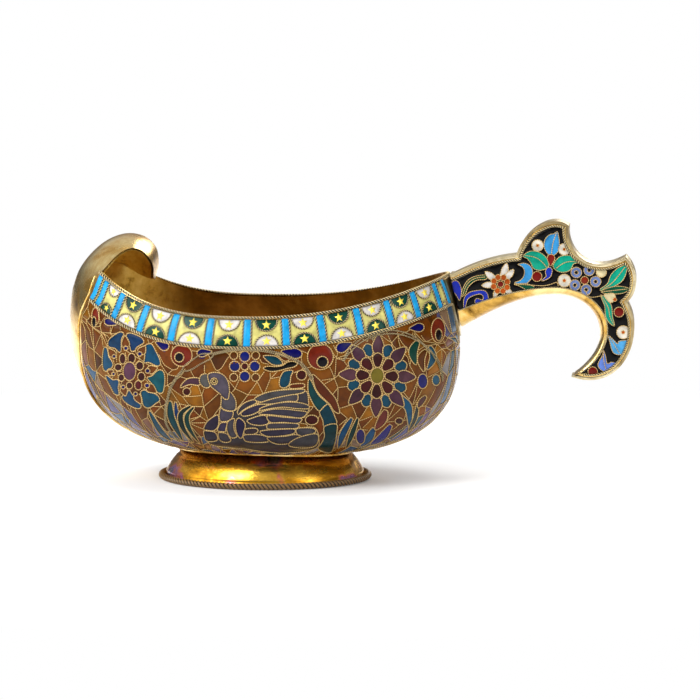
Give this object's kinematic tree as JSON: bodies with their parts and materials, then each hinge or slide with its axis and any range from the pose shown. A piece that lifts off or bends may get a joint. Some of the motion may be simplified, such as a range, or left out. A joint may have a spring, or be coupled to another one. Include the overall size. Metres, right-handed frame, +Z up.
{
  "type": "kovsh",
  "caption": "Boat-shaped enamelled silver-gilt drinking ladle with a curled prow, a hooked handle and an oval rope-edged foot.",
  "frame": {"origin": "on the ground under the middle of the whole length, on the vessel's middle plane", "axes": "+X towards the handle, +Y towards the far side, +Z up"},
  "size_m": [0.1716, 0.085, 0.0791],
  "materials": {
    "silver_gilt": "polished gilding over silver, worn and tarnished in the hollows",
    "silver": "silver with thin worn gilding",
    "gilt_wire": "twisted wire, bright gilding",
    "enamel_amber": "opaque and translucent cloisonne enamel, glossy",
    "enamel_cream": "opaque enamel, glossy",
    "enamel_black": "opaque enamel, glossy"
  },
  "bodies": {
    "root": {"bowl": "silver_gilt", "foot": "silver_gilt", "handle_grip": "silver_gilt", "handle_plate_front": "silver_gilt", "handle_plate_back": "silver_gilt", "handle_edge_strip": "silver", "handle_seat": "silver", "rim_wire": "gilt_wire", "band_wire_near": "gilt_wire", "band_wire_far": "gilt_wire", "prow_wire_near": "gilt_wire", "prow_wire_far": "gilt_wire", "foot_rope": "gilt_wire", "handle_wire_front": "gilt_wire", "handle_wire_back": "gilt_wire", "body_enamel_near": "enamel_amber", "body_enamel_far": "enamel_amber", "rim_band_near": "enamel_cream", "rim_band_far": "enamel_cream", "handle_enamel_front": "enamel_black", "handle_enamel_back": "enamel_black"}
  },
  "joints": []
}
